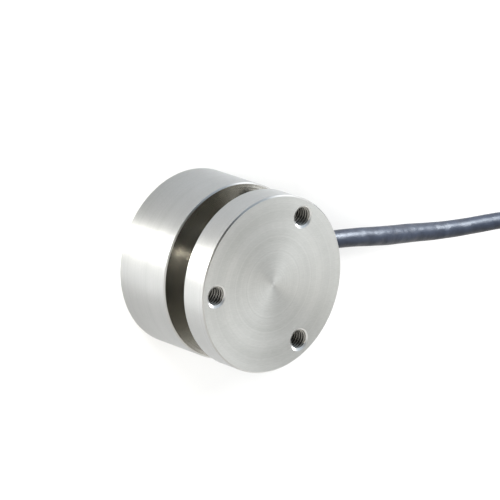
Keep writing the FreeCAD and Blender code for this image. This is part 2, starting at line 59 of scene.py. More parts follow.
# Signal cable: its real size, its skin, and its route from the gland to the coil and on to its end
CABLE_DIAMETER = 0.0042
CABLE_RIPPLE = 0.006
CABLE_BULGE = 0.12
BULGE_PLACE = 0.030
BULGE_REACH = 0.020
CABLE_RUN = [
    (0.0420, -0.0006, 0.00815),
    (0.0550, -0.0027, 0.00660),
    (0.0680, -0.0047, 0.00340),
    (0.0800, -0.0063, 0.00215),
    (0.0920, -0.0067, 0.00215),
    (0.1050, -0.0070, 0.00215),
    (0.1214, -0.0149, 0.00215),
    (0.1360, -0.0192, 0.00215),
    (0.1503, -0.0147, 0.00215),
]
CABLE_TAIL = [
    (0.1628, -0.0005, 0.01475),
    (0.1649, 0.0123, 0.01640),
    (0.1613, 0.0227, 0.01890),
    (0.1537, 0.0300, 0.01910),
    (0.1448, 0.0344, 0.01910),
    (0.1360, 0.0357, 0.01955),
    (0.1282, 0.0344, 0.01960),
]

# Ripple of a sheath: waves by rate along it, lobes round it, start and depth of wander
RIPPLE_WAVES = [
    (410.0, 1.0, 0.0, 2.0),
    (690.0, -2.0, 1.3, 0.0),
    (233.0, 3.0, 0.4, 0.0),
]
WANDER_RATE = 37.0

# Coil: three columns and four layers of turns, wound from the outside of the lowest layer upwards
COIL_CENTER = np.array([0.136, 0.0103])
COIL_RADIUS = 0.0245
COIL_COLUMNS = 3
COIL_LAYERS = 4
COIL_STEPS = 178
COLUMN_PITCH = 0.00425
LAYER_PITCH = 0.0042
COIL_FLOOR = 0.00215
CROSSING_START = 0.15
CROSSING_SHIFT = 0.055
CROSSING_SPAN = 0.13
TIE_ANGLE = math.radians(317.0)
TIE_REACH = math.radians(20.0)
TIE_SQUEEZE = 0.12
TIE_LIFT = 0.0002

# Leads out of the cable's end: their real sizes, their skin and their routes
LEAD_DIAMETER = 0.0011
SCREEN_DIAMETER = 0.0008
LEAD_RIPPLE = 0.004
LEAD_ROUTES = {
    "lead_red": [
        (0.1279, 0.0349, 0.0202),
        (0.1209, 0.0342, 0.0202),
        (0.1107, 0.0249, 0.0175),
        (0.1068, 0.0093, 0.0175),
    ],
    "lead_green": [
        (0.1279, 0.0349, 0.0190),
        (0.1210, 0.0338, 0.0189),
        (0.1124, 0.0240, 0.0175),
        (0.1088, 0.0084, 0.0175),
    ],
    "screen_lead": [
        (0.1280, 0.0343, 0.0181),
        (0.1211, 0.0332, 0.0181),
        (0.1140, 0.0230, 0.0173),
        (0.1108, 0.0072, 0.0173),
    ],
    "lead_white": [
        (0.1280, 0.0338, 0.0190),
        (0.1212, 0.0326, 0.0189),
        (0.1157, 0.0220, 0.0175),
        (0.1130, 0.0062, 0.0175),
    ],
    "lead_black": [
        (0.1280, 0.0338, 0.0202),
        (0.1213, 0.0322, 0.0202),
        (0.1175, 0.0210, 0.0175),
        (0.1152, 0.0051, 0.0175),
    ],
}

# Tapped holes, M5 with its standard pitch
THREAD_PITCH = 0.0008
THREAD_ROOT = 0.00205
THREAD_CREST = 0.0025
THREAD_CREST_SHARE = 0.125
THREAD_FLANK_SHARE = 0.65
BOLT_ANGLES = np.radians([60.0, 180.0, 300.0])
LOAD_BOLT_RADIUS = 0.017
BASE_BOLT_RADIUS = 0.016
HOLE_REACH = 0.0028
COUNTERSINK_DEPTH = 0.0004
LOAD_THREAD_START = 0.0228
BASE_THREAD_END = 0.008
TAP_OVERRUN = 0.0002
# Height midway between the holes, and the distances from it where the painted shade in the holes is darkest
# and where it ends
HOLES_MIDDLE = 0.0155
THREAD_DEEP = 0.0100
THREAD_MOUTH = 0.0149

# Fineness of the drawn meshes, and the angles above which their edges stay sharp
ROUTE_ORDER = 3
CABLE_STEPS = 16
CABLE_SIDES = 24
LEAD_STEPS = 14
LEAD_SIDES = 16
TAP_STEPS = 14
TAP_SIDES = 40
MERGE_REACH = 1e-6
TUBE_SHARP = math.radians(50.0)
BODY_SHARP = math.radians(24.0)

# Zones of the body by the tool that cut them, in the order of its finishes
TURNED_WALL, FACED_END, PARTED_GROOVE, TAPPED_HOLE, COUNTERSINK, EDGE_BREAK = range(6)
GROOVE_LOW = 0.01625
GROOVE_HIGH = 0.02305
RIM_BREAK = 0.00035
EDGE_REACH = 0.00045
CAVITY_REACH = 0.0126
LEVEL_SLOPE = 0.95
EDGE_SLOPE = 0.5
COUNTERSINK_SLOPE = 0.8

# Shared effects: what most of a noise lies between, shares of the tone, and sizes of marks and grain
NOISE_LOW = 0.3
NOISE_HIGH = 0.7
MARK_SHARE = 0.26
SMUDGE_SHARE = 0.32
BAND_SHARE = 0.22
LINE_SHARE = 0.20
GLOSS_SHARE = 0.5
GLOSS_LOW = 0.35
GLOSS_HIGH = 0.65
BAND_SCALE = 0.13
MARK_STRETCH = (1.0, 7.0, 2.5)
MARK_FINENESS = 9.0
GRAIN_SHARE = 0.12
METAL_HANDLING = 90.0
THREAD_HANDLING = 900.0
WIRE_HANDLING = 1400.0
# Share of the thread's tone left where its painted shade is darkest, deep in a hole
DEEP_SHADE_SHARE = 0.15

# Sizes drawn by the finishes of the tie, the gauges, the board and the chips
WARP_RATE = 240.0
WEFT_RATE = 7000.0
GRID_ANGLE = math.radians(45.0)
GRID_RATE = 14000.0
GRID_GAP = -0.2
GRID_REACH = 0.0011
PAD_COUNT = 8
PAD_CIRCLE = 0.0038
PAD_SPREAD = 0.0011
PAD_RADIUS = 0.0007
CAP_START = 0.34

# Insulation of the wires: the darker and the lighter tone of each colour
INSULATIONS = {
    "red": ((0.42, 0.020, 0.016, 1.0), (0.52, 0.035, 0.026, 1.0)),
    "green": ((0.020, 0.20, 0.055, 1.0), (0.035, 0.27, 0.080, 1.0)),
    "white": ((0.70, 0.69, 0.66, 1.0), (0.80, 0.79, 0.77, 1.0)),
    "black": ((0.010, 0.010, 0.011, 1.0), (0.020, 0.020, 0.022, 1.0)),
    "grey": ((0.20, 0.20, 0.205, 1.0), (0.28, 0.28, 0.285, 1.0)),
}

# Stage: the floor's white, the studio's tones, its dark side by heading and cosines, and the lamps
FLOOR_REACH = 3.0
FLOOR_LIT = (0.450, 0.446, 0.438, 1.0)
FLOOR_PLAIN = (0.8, 0.8, 0.8, 1.0)
FLOOR_GLOW_NEAR = 0.455
FLOOR_GLOW_FAR = 0.85
FLOOR_NEAR = 0.035
FLOOR_FAR = 0.085
STUDIO_LEVEL = 0.86
STUDIO_WARM = (1.0, 0.995, 0.970, 1.0)
STUDIO_COOL = (0.58, 0.69, 0.81, 1.0)
STUDIO_DARK = (0.04, 0.04, 0.043, 1.0)
COOL_START = -0.2
COOL_FULL = 0.75
DARK_AZIMUTH = math.radians(134.0)
DARK_ELEVATION = math.radians(42.0)
DARK_OUTSIDE = 0.72
DARK_INSIDE = 0.93
BODY_AIM = (0.0, 0.0, 0.015)
FACE_AIM = (0.0, 0.0, 0.030)
CABLE_AIM = (0.076, -0.005, 0.004)
SOFTBOXES = {
    "band_softbox": {
        "aim": BODY_AIM, "azimuth": 162.5, "elevation": 8.0, "distance": 0.60,
        "size": (0.30, 0.24), "power": 1.0, "colour": (0.94, 0.97, 1.0),
    },
    "shoulder_softbox": {
        "aim": BODY_AIM, "azimuth": 194.5, "elevation": 8.0, "distance": 0.60,
        "size": (0.28, 0.24), "power": 1.15, "colour": (0.99, 1.0, 1.0),
    },
    "groove_softbox": {
        "aim": BODY_AIM, "azimuth": 159.0, "elevation": 8.0, "distance": 0.60,
        "size": (0.15, 0.24), "power": 7.2, "colour": (1.0, 0.97, 0.90),
    },
    "cool_softbox": {
        "aim": BODY_AIM, "azimuth": -3.5, "elevation": 31.0, "distance": 0.90,
        "size": (0.54, 0.42), "power": 1.85, "colour": (0.88, 0.94, 1.0),
    },
    "hole_softbox": {
        "aim": FACE_AIM, "azimuth": 11.0, "elevation": 14.0, "distance": 0.90,
        "size": (0.16, 0.11), "power": 0.55, "colour": (1.0, 1.0, 1.0),
    },
    "edge_softbox": {
        "aim": BODY_AIM, "azimuth": 39.0, "elevation": 14.0, "distance": 0.60,
        "size": (0.26, 0.20), "power": 0.36, "colour": (1.0, 1.0, 1.0),
    },
    "cable_softbox": {
        "aim": CABLE_AIM, "azimuth": 44.0, "elevation": 25.0, "distance": 0.70,
        "size": (0.30, 0.26), "power": 22.5, "colour": (0.84, 0.91, 1.0),
    },
    "shadow_softbox": {
        "aim": BODY_AIM, "azimuth": 128.0, "elevation": 50.0, "distance": 0.90,
        "size": (0.26, 0.26), "power": 3.6, "colour": (1.0, 1.0, 1.0), "mirrored": False,
    },
}


def link(thing):
    """Puts an object into the scene."""
    SCENE.collection.objects.link(thing)
    return thing


def grid_faces(rows, columns):
    """Four-sided faces between neighbours of a grid whose columns close into a ring."""
    row = np.arange(rows - 1)[:, None] * columns
    column = np.arange(columns)[None, :]
    following = (column + 1) % columns
    lower = (row + column, row + following)
    upper = (row + columns + following, row + columns + column)
    return np.stack(np.broadcast_arrays(*lower, *upper), axis=-1).reshape(-1, 4)


def end_fan(first, columns, center):
    """Three-sided faces from a ring of points to the point in its middle."""
    column = np.arange(columns)
    following = (column + 1) % columns
    return np.stack([first + column, first + following, np.full(columns, center)], axis=-1)


def closed_tube(name, rings, start, end):
    """Mesh through rings of points, closed at each end by a fan to a middle point."""
    rows, columns = rings.shape[:2]
    points = np.concatenate([rings.reshape(-1, 3), [start, end]])
    middle = rows * columns
    faces = grid_faces(rows, columns).tolist()
    faces += end_fan(0, columns, middle).tolist()
    faces += end_fan(middle - columns, columns, middle + 1).tolist()
    mesh = bpy.data.meshes.new(name)
    mesh.from_pydata(points.tolist(), [], faces)
    turn_outwards(mesh)
    return mesh


def turn_outwards(mesh):
    """Turns every face of a closed mesh outwards."""
    worked = bmesh.new()
    worked.from_mesh(mesh)
    bmesh.ops.recalc_face_normals(worked, faces=worked.faces)
    worked.to_mesh(mesh)
    worked.free()


def smooth_shading(mesh, sharp_angle):
    """Smooth shading that keeps the edges sharper than the given angle."""
    mesh.shade_smooth()
    mesh.set_sharp_from_angle(angle=sharp_angle)


def heading(azimuth, elevation):
    """Direction of length one from its two angles."""
    level = math.cos(elevation)
    return np.array([level * math.cos(azimuth), level * math.sin(azimuth), math.sin(elevation)])


def set_up_camera():
    """Camera at the end of the view's ray. Its right and up lie square to the ray, turned by the roll."""
    back = heading(VIEW_AZIMUTH, VIEW_ELEVATION)
    level_right = np.array([-math.sin(VIEW_AZIMUTH), math.cos(VIEW_AZIMUTH), 0.0])
    level_up = np.cross(back, level_right)
    right = math.cos(VIEW_ROLL) * level_right + math.sin(VIEW_ROLL) * level_up
    pose = np.eye(4)
    pose[:3, 0] = right
    pose[:3, 1] = np.cross(back, right)
    pose[:3, 2] = back
    pose[:3, 3] = VIEW_TARGET + VIEW_DISTANCE * back
    lens = bpy.data.cameras.new("photograph_view")
    lens.sensor_width = VIEW_SENSOR
    lens.lens = VIEW_LENS
    camera = link(bpy.data.objects.new("photograph_view", lens))
    camera.matrix_world = Matrix(pose.tolist())
    SCENE.camera = camera


def route_line(control_points, resolution):
    """Points along the smooth spline that has the route's points as its control points."""
    curve = bpy.data.curves.new("route", "CURVE")
    curve.dimensions = "3D"
    curve.resolution_u = resolution
    spline = curve.splines.new("NURBS")
    spline.points.add(len(control_points) - 1)
    weighted = np.column_stack([control_points, np.ones(len(control_points))])
    spline.points.foreach_set("co", weighted.ravel())
    spline.order_u = ROUTE_ORDER
    spline.use_endpoint_u = True
    carrier = link(bpy.data.objects.new("route", curve))
    drawn = carrier.evaluated_get(bpy.context.evaluated_depsgraph_get())
    mesh = bpy.data.meshes.new_from_object(drawn)
    line = np.empty(len(mesh.vertices) * 3)
    mesh.vertices.foreach_get("co", line)
    bpy.data.objects.remove(carrier)
    bpy.data.curves.remove(curve)
    bpy.data.meshes.remove(mesh)
    return line.reshape(-1, 3)


def line_tube(name, line, radius, columns, ripple, bulge=0.0):
    """Tube along a line. Each ring is the line's point plus the radius times the cosine of the angle
    sideways plus its sine upwards. The ripple changes the radius by the sum of three sine waves of
    length and angle. The bulge thickens it by a bell curve where the sheath was squeezed in the making."""
    along = np.gradient(line, axis=0)
    along /= np.linalg.norm(along, axis=1, keepdims=True)
    sideways = np.cross(along, [0.0, 0.0, 1.0])
    sideways /= np.linalg.norm(sideways, axis=1, keepdims=True)
    upwards = np.cross(sideways, along)
    steps = np.linalg.norm(np.diff(line, axis=0), axis=1)
    length = np.concatenate([[0.0], np.cumsum(steps)])[:, None]
    angle = np.arange(columns)[None, :] * TURN / columns
    wander = np.sin(length * WANDER_RATE)
    waves = sum(
        np.sin(length * rate + depth * wander + lobes * angle + start)
        for rate, lobes, start, depth in RIPPLE_WAVES
    )
    thicker = bulge * np.exp(-(((length - BULGE_PLACE) / BULGE_REACH) ** 2))
    reach = (radius * (1.0 + ripple * waves + thicker))[:, :, None]
    to_side = np.cos(angle)[:, :, None] * sideways[:, None, :]
    to_top = np.sin(angle)[:, :, None] * upwards[:, None, :]
    rings = line[:, None, :] + reach * (to_side + to_top)
    mesh = closed_tube(name, rings, line[0], line[-1])
    smooth_shading(mesh, TUBE_SHARP)
    return link(bpy.data.objects.new(name, mesh))


def smooth_step(share):
    """Three times the square less twice the cube of a share, which starts and ends level."""
    share = np.clip(share, 0.0, 1.0)
    return share * share * (3.0 - 2.0 * share)


def angle_about_coil(point):
    """Angle of a point about the coil's middle."""
    return math.atan2(point[1] - COIL_CENTER[1], point[0] - COIL_CENTER[0])


def coil_points():
    """Control points of the coil's turns. Each turn keeps one column and layer and crosses to the next
    place of the winding in a window of its own, later windows for lower turns, so that no turn meets
    another. The tie draws the turns together. The radius is divided by the cosine of half a step,
    because the spline cuts its corners."""
    start = angle_about_coil(CABLE_RUN[-1])
    turns = COIL_COLUMNS * COIL_LAYERS
    end = angle_about_coil(CABLE_TAIL[0]) + TURN * (turns - 1)
    angles = np.linspace(start, end, COIL_STEPS + 1)[1:-1]
    winding = np.arange(turns + 1).clip(max=turns - 1)
    layer = winding // COIL_COLUMNS
    column = winding % COIL_COLUMNS
    column = np.where(layer % 2 == 0, column, COIL_COLUMNS - 1 - column)
    counted = (angles - start) / TURN
    turn = np.floor(counted).astype(int)
    window = CROSSING_START + CROSSING_SHIFT * (turns - 1 - turn)
    crossed = smooth_step((counted - turn - window) / CROSSING_SPAN)
    columns_in = column[turn] + (column[turn + 1] - column[turn]) * crossed
    layers_up = layer[turn] + (layer[turn + 1] - layer[turn]) * crossed
    from_tie = (angles - TIE_ANGLE + math.pi) % TURN - math.pi
    drawn = np.exp(-((from_tie / TIE_REACH) ** 2))
    squeeze = 1.0 - TIE_SQUEEZE * drawn
    middle_column = (COIL_COLUMNS - 1) / 2
    middle_layer = (COIL_LAYERS - 1) / 2
    radius = COIL_RADIUS + (middle_column - columns_in) * COLUMN_PITCH * squeeze
    layers_drawn = middle_layer + (layers_up - middle_layer) * squeeze
    height = COIL_FLOOR + layers_drawn * LAYER_PITCH + TIE_LIFT * drawn
    widened = radius / math.cos((angles[1] - angles[0]) / 2)
    return np.column_stack([
        COIL_CENTER[0] + widened * np.cos(angles),
        COIL_CENTER[1] + widened * np.sin(angles),
        height,
    ])


def make_cable():
    """Signal cable from the gland's mouth through its coil to its stripped end."""
    nut_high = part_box("gland_nut")[1]
    mouth = (nut_high.x, 0.0, CABLE_RUN[0][2])
    points = np.concatenate([[mouth], CABLE_RUN, coil_points(), CABLE_TAIL])
    line = route_line(points, CABLE_STEPS)
    radius = CABLE_DIAMETER / 2
    cable = line_tube("signal_cable", line, radius, CABLE_SIDES, CABLE_RIPPLE, CABLE_BULGE)
    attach(cable, "root")
    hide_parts("cable_run", "cable_coil", "cable_tail")
    return cable


def make_leads():
    """The four insulated leads and the screen lead, each a short cord out of the cable's end."""
    leads = {}
    for name, points in LEAD_ROUTES.items():
        diameter = SCREEN_DIAMETER if name == "screen_lead" else LEAD_DIAMETER
        line = route_line(points, LEAD_STEPS)
        lead = line_tube(f"{name}_insulated", line, diameter / 2, LEAD_SIDES, LEAD_RIPPLE)
        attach(lead, "root")
        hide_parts(name)
        leads[name] = lead
    return leads


def thread_tap(x, y, low, high):
    """Tap of a right-hand thread. At each height and angle the radius falls from the crest's to the
    root's with the distance from the crest line, which climbs one pitch in each turn."""
    rows = round((high - low) / THREAD_PITCH * TAP_STEPS) + 1
    height = np.linspace(low, high, rows)[:, None]
    angle = np.arange(TAP_SIDES)[None, :] * TURN / TAP_SIDES
    phase = height / THREAD_PITCH - angle / TURN
    from_crest = 2.0 * np.abs(phase - np.round(phase))
    fall = np.clip((from_crest - THREAD_CREST_SHARE) / THREAD_FLANK_SHARE, 0.0, 1.0)
    radius = THREAD_CREST - (THREAD_CREST - THREAD_ROOT) * fall
    rings = np.stack([
        x + radius * np.cos(angle),
        y + radius * np.sin(angle),
        np.broadcast_to(height, radius.shape),
    ], axis=-1)
    return closed_tube("thread_tap", rings, (x, y, low), (x, y, high))


def mark_zones(mesh, body_high):
    """Gives each face of the body the finish of the tool that cut it: turned walls, faced ends, broken
    edges, the parted groove with the bored cavity, and the tapped holes. They are told apart by slope,
    height, distance from the axis and distance from a hole."""
    count = len(mesh.polygons)
    middle = np.empty(count * 3)
    normal = np.empty(count * 3)
    mesh.polygons.foreach_get("center", middle)
    mesh.polygons.foreach_get("normal", normal)
    across, along, height = middle.reshape(-1, 3).T
    slope = np.abs(normal.reshape(-1, 3)[:, 2])
    level = slope > LEVEL_SLOPE
    radius = np.hypot(across, along)
    near_edge = radius > body_high.x - EDGE_REACH
    in_groove = (height > GROOVE_LOW) & (height < GROOVE_HIGH) & (radius < body_high.x - RIM_BREAK)
    in_cavity = (radius < CAVITY_REACH) & (height < GROOVE_LOW)
    at_mouth = (height > body_high.z - COUNTERSINK_DEPTH) | (height < COUNTERSINK_DEPTH)
    zone = np.full(count, TURNED_WALL)
    zone[level] = FACED_END
    zone[(slope > EDGE_SLOPE) & ~level & near_edge] = EDGE_BREAK
    zone[in_groove | in_cavity] = PARTED_GROOVE
    for angle in BOLT_ANGLES:
        for circle in (LOAD_BOLT_RADIUS, BASE_BOLT_RADIUS):
            away = np.hypot(across - circle * np.cos(angle), along - circle * np.sin(angle))
            in_hole = (away < HOLE_REACH) & ~level & ~in_groove
            zone[in_hole] = TAPPED_HOLE
            zone[in_hole & at_mouth & (slope > COUNTERSINK_SLOPE)] = COUNTERSINK
    mesh.polygons.foreach_set("material_index", zone.astype(np.int32))


def make_taps(body_low, body_high):
    """One object with the taps of all six holes."""
    taps = bmesh.new()
    for angle in BOLT_ANGLES:
        across = (math.cos(angle), math.sin(angle))
        load_x, load_y = (LOAD_BOLT_RADIUS * share for share in across)
        base_x, base_y = (BASE_BOLT_RADIUS * share for share in across)
        taps.from_mesh(thread_tap(load_x, load_y, LOAD_THREAD_START, body_high.z + TAP_OVERRUN))
        taps.from_mesh(thread_tap(base_x, base_y, body_low.z - TAP_OVERRUN, BASE_THREAD_END))
    tap_mesh = bpy.data.meshes.new("taps")
    taps.to_mesh(tap_mesh)
    taps.free()
    return link(bpy.data.objects.new("taps", tap_mesh))


def make_tapped_body():
    """The spring body's own mesh with its points merged, and the six tapped holes cut to their threads."""
    body_low, body_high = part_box("spring_body")
    tool = make_taps(body_low, body_high)
    blank = NODES["spring_body"].data.copy()
    worked = bmesh.new()
    worked.from_mesh(blank)
    bmesh.ops.remove_doubles(worked, verts=worked.verts, dist=MERGE_REACH)
    worked.to_mesh(blank)
    worked.free()
    blank.attributes.remove(blank.attributes["custom_normal"])
    turned = link(bpy.data.objects.new("turned_blank", blank))
    cut = turned.modifiers.new("tapping", "BOOLEAN")
    cut.operation = "DIFFERENCE"
    cut.solver = "EXACT"
    cut.object = tool
    drawn = turned.evaluated_get(bpy.context.evaluated_depsgraph_get())
    mesh = bpy.data.meshes.new_from_object(drawn)
    bpy.data.objects.remove(turned)
    bpy.data.objects.remove(tool)
    mesh.materials.clear()
    smooth_shading(mesh, BODY_SHARP)
    mark_zones(mesh, body_high)
    body = link(bpy.data.objects.new("tapped_body", mesh))
    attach(body, "root")
    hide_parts("spring_body")
    return body


def make_floor():
    """Level floor under the part."""
    mesh = bpy.data.meshes.new("floor")
    near = -FLOOR_REACH
    far = FLOOR_REACH
    corners = [(near, near, 0), (far, near, 0), (far, far, 0), (near, far, 0)]
    mesh.from_pydata(corners, [], [(0, 1, 2, 3)])
    floor = link(bpy.data.objects.new("floor", mesh))
    return floor


def place(tree, kind, inputs=None, **settings):
    """Adds a node with its settings, and fills its inputs with values or with links from other nodes."""
    node = tree.nodes.new(kind)
    for name, value in settings.items():
        setattr(node, name, value)
    for name, source in (inputs or {}).items():
        if isinstance(source, bpy.types.NodeSocket):
            tree.links.new(source, node.inputs[name])
        else:
            node.inputs[name].default_value = source
    return node


def worked_out(tree, operation, *values):
    """Result of one step of arithmetic on values and on outputs of other nodes."""
    return place(tree, "ShaderNodeMath", dict(enumerate(values)), operation=operation).outputs[0]


def weighed(tree, *parts):
    """Sum of values, each times its share."""
    total = 0.0
    for value, share in parts:
        total = worked_out(tree, "MULTIPLY_ADD", value, share, total)
    return total


def hypotenuse(tree, first, second):
    """Square root of the sum of two squares."""
    squares = [worked_out(tree, "MULTIPLY", side, side) for side in (first, second)]
    return worked_out(tree, "SQRT", worked_out(tree, "ADD", *squares))


def ranged(tree, value, from_low, from_high, to_low, to_high):
    """Value moved from one range to another and held inside it."""
    limits = {
        "Value": value,
        "From Min": from_low,
        "From Max": from_high,
        "To Min": to_low,
        "To Max": to_high,
    }
    return place(tree, "ShaderNodeMapRange", limits).outputs["Result"]


def stretched(tree, value, low=0.0, high=1.0):
    """A noise's usual range stretched to the given limits."""
    return ranged(tree, value, NOISE_LOW, NOISE_HIGH, low, high)


def blended(tree, share, first, second):
    """Colour between two colours by a share from 0 to 1. The numbers are the node's colour sockets."""
    inputs = {0: share, 6: first, 7: second}
    return place(tree, "ShaderNodeMix", inputs, data_type="RGBA").outputs[2]


def noise(tree, vector, scale, detail=2.0, roughness=0.5):
    """Noise in space, from 0 to 1."""
    inputs = {"Vector": vector, "Scale": scale, "Detail": detail, "Roughness": roughness}
    return place(tree, "ShaderNodeTexNoise", inputs).outputs["Fac"]


def noise_along(tree, way, scale, detail):
    """Noise along one value, from 0 to 1."""
    inputs = {"W": way, "Scale": scale, "Detail": detail}
    return place(tree, "ShaderNodeTexNoise", inputs, noise_dimensions="1D").outputs["Fac"]


def object_place(tree):
    """Place on the object, in metres."""
    return place(tree, "ShaderNodeTexCoord").outputs["Object"]


def moved(tree, vector, **changes):
    """Vector after a move, a turn or a stretch."""
    return place(tree, "ShaderNodeMapping", {"Vector": vector, **changes}).outputs[0]


def split(tree, vector):
    """The three parts of a vector."""
    return place(tree, "ShaderNodeSeparateXYZ", {0: vector}).outputs


def new_group(name, inputs, outputs):
    """Empty node group with named sockets, its input node and its output node."""
    group = bpy.data.node_groups.new(name, "ShaderNodeTree")
    for socket, kind in inputs.items():
        group.interface.new_socket(socket, in_out="INPUT", socket_type=kind)
    for socket in outputs:
        group.interface.new_socket(socket, in_out="OUTPUT", socket_type="NodeSocketFloat")
    return group, group.nodes.new("NodeGroupInput").outputs, group.nodes.new("NodeGroupOutput").inputs


def lathe_lines_group():
    """Lines that a cutting tool leaves on a turned piece, for an axis along Z: noise along the radius plus
    the height, so that it makes rings on the flat faces and hoops on the walls. Height is the fine
    relief, Band the slow change from one pass to the next."""
    inputs = {"Vector": "NodeSocketVector", "Pitch": "NodeSocketFloat"}
    group, given, result = new_group("lathe_lines", inputs, ["Height", "Band"])
    parts = split(group, given["Vector"])
    radius = hypotenuse(group, parts[0], parts[1])
    way = worked_out(group, "ADD", radius, parts[2])
    travel = worked_out(group, "DIVIDE", way, given["Pitch"])
    group.links.new(noise_along(group, travel, scale=1.0, detail=3.0), result["Height"])
    group.links.new(noise_along(group, travel, scale=BAND_SCALE, detail=2.0), result["Band"])
    return group


def handling_group():
    """Faint smudges and fine marks from handling: two noises, the second finer and drawn out sideways."""
    inputs = {"Vector": "NodeSocketVector", "Scale": "NodeSocketFloat"}
    group, given, result = new_group("handling_marks", inputs, ["Smudge", "Mark"])
    smudge = noise(group, given["Vector"], given["Scale"], detail=4.0, roughness=0.6)
    drawn = moved(group, given["Vector"], Scale=MARK_STRETCH)
    finer = worked_out(group, "MULTIPLY", given["Scale"], MARK_FINENESS)
    mark = noise(group, drawn, finer, detail=3.0, roughness=0.55)
    group.links.new(smudge, result["Smudge"])
    group.links.new(mark, result["Mark"])
    return group


def moulded_grain_group():
    """Skin of an extruded or moulded plastic: shallow dents, and over them a fine grain."""
    inputs = {"Vector": "NodeSocketVector", "Dents": "NodeSocketFloat", "Grain": "NodeSocketFloat"}
    group, given, result = new_group("moulded_grain", inputs, ["Height", "Mottle"])
    dents = noise(group, given["Vector"], given["Dents"], detail=1.5, roughness=0.45)
    grain = noise(group, given["Vector"], given["Grain"], detail=2.0, roughness=0.6)
    height = worked_out(group, "MULTIPLY_ADD", grain, GRAIN_SHARE, dents)
    group.links.new(height, result["Height"])
    group.links.new(dents, result["Mottle"])
    return group


LATHE_LINES = lathe_lines_group()
HANDLING = handling_group()
MOULDED_GRAIN = moulded_grain_group()


def grouped(tree, group, inputs):
    """Outputs of a node group placed in a material."""
    return place(tree, "ShaderNodeGroup", inputs, node_tree=group).outputs


def new_finish(name, **constants):
    """Material with one Principled shader and its constant sockets set."""
    material = bpy.data.materials.new(name)
    material.use_nodes = True
    tree = material.node_tree
    shader = tree.nodes["Principled BSDF"]
    for socket, value in constants.items():
        shader.inputs[socket.replace("_", " ")].default_value = value
    return material, tree, shader


def wire_up(tree, shader, **sources):
    """Links the shader's sockets to what changes over the surface."""
    for socket, source in sources.items():
        tree.links.new(source, shader.inputs[socket.replace("_", " ")])


def relief(tree, height, depth):
    """Normal of a relief that is as deep as given where its height is one."""
    return place(tree, "ShaderNodeBump", {"Height": height, "Distance": depth}).outputs["Normal"]


def turned_metal(name, dark, light, smooth, rough, pitch, anisotropy, cut=0.015, axis="Z", mapping=None):
    """Turned metal: lathe lines in its relief, tone and gloss, smudges and marks from handling, and a gloss
    that spreads across the lines."""
    material, tree, shader = new_finish(
        name, Metallic=1.0, Anisotropic=anisotropy, Anisotropic_Rotation=0.25,
    )
    where = object_place(tree)
    if mapping:
        where = moved(tree, where, **mapping)
    lines = grouped(tree, LATHE_LINES, {"Vector": where, "Pitch": pitch})
    marks = grouped(tree, HANDLING, {"Vector": where, "Scale": METAL_HANDLING})
    tone = weighed(
        tree,
        (marks["Mark"], MARK_SHARE),
        (marks["Smudge"], SMUDGE_SHARE),
        (lines["Band"], BAND_SHARE),
        (lines["Height"], LINE_SHARE),
    )
    gloss = weighed(tree, (lines["Band"], GLOSS_SHARE), (marks["Smudge"], GLOSS_SHARE))
    wire_up(
        tree, shader,
        Base_Color=blended(tree, stretched(tree, tone), dark, light),
        Roughness=ranged(tree, gloss, GLOSS_LOW, GLOSS_HIGH, smooth, rough),
        Normal=relief(tree, lines["Height"], pitch * cut),
        Tangent=place(tree, "ShaderNodeTangent", direction_type="RADIAL", axis=axis).outputs[0],
    )
    return material


def from_hole_axis(tree, parts):
    """Distance from the axis of the nearest tapped hole. The angle about the body is folded into the share
    of one hole, and the bolt circle is that of the nearer face."""
    radius = hypotenuse(tree, parts[0], parts[1])
    about = worked_out(tree, "ARCTAN2", parts[1], parts[0])
    from_first = worked_out(tree, "SUBTRACT", about, BOLT_ANGLES[0])
    share = math.pi / len(BOLT_ANGLES)
    folded = worked_out(tree, "WRAP", from_first, share, -share)
    upper = worked_out(tree, "GREATER_THAN", parts[2], HOLES_MIDDLE)
    circle = ranged(tree, upper, 0.0, 1.0, BASE_BOLT_RADIUS, LOAD_BOLT_RADIUS)
    towards = worked_out(tree, "MULTIPLY", radius, worked_out(tree, "COSINE", folded))
    outwards = worked_out(tree, "SUBTRACT", towards, circle)
    sideways = worked_out(tree, "MULTIPLY", radius, worked_out(tree, "SINE", folded))
    return hypotenuse(tree, outwards, sideways)


def cut_thread():
    """Cut thread with painted light and shade: crests painted pale, roots painted dark, and the metal
    painted darker further into a hole as painted shade. The depth is told by the distance from the height
    midway between the holes of the two faces."""
    material, tree, shader = new_finish("tapped_hole", Metallic=1.0)
    where = object_place(tree)
    parts = split(tree, where)
    from_middle = worked_out(tree, "ABSOLUTE", worked_out(tree, "SUBTRACT", parts[2], HOLES_MIDDLE))
    # Painted shade: the metal is painted darker the further it lies into a hole.
    depth_shade_factor = ranged(tree, from_middle, THREAD_DEEP, THREAD_MOUTH, DEEP_SHADE_SHARE, 1.0)
    # Painted highlight on the thread's crests and painted shade in its roots.
    crest = ranged(tree, from_hole_axis(tree, parts), THREAD_ROOT, THREAD_CREST, 1.0, 0.0)
    marks = grouped(tree, HANDLING, {"Vector": where, "Scale": THREAD_HANDLING})
    bright = worked_out(tree, "MULTIPLY", depth_shade_factor, crest)
    wire_up(
        tree, shader,
        Base_Color=blended(tree, bright, (0.060, 0.057, 0.048, 1.0), (0.66, 0.645, 0.605, 1.0)),
        Roughness=stretched(tree, marks["Mark"], low=0.16, high=0.28),
        Normal=relief(tree, marks["Mark"], depth=0.00001),
    )
    return material


def moulded_plastic(name, dark, light, smooth, rough, dents, grain, depth, **constants):
    """Extruded or moulded plastic or rubber: dents and a fine grain in its relief, tone and gloss."""
    material, tree, shader = new_finish(name, **constants)
    inputs = {"Vector": object_place(tree), "Dents": dents, "Grain": grain}
    skin = grouped(tree, MOULDED_GRAIN, inputs)
    wire_up(
        tree, shader,
        Base_Color=blended(tree, stretched(tree, skin["Mottle"]), dark, light),
        Roughness=stretched(tree, skin["Mottle"], smooth, rough),
        Normal=relief(tree, skin["Height"], depth),
    )
    return material


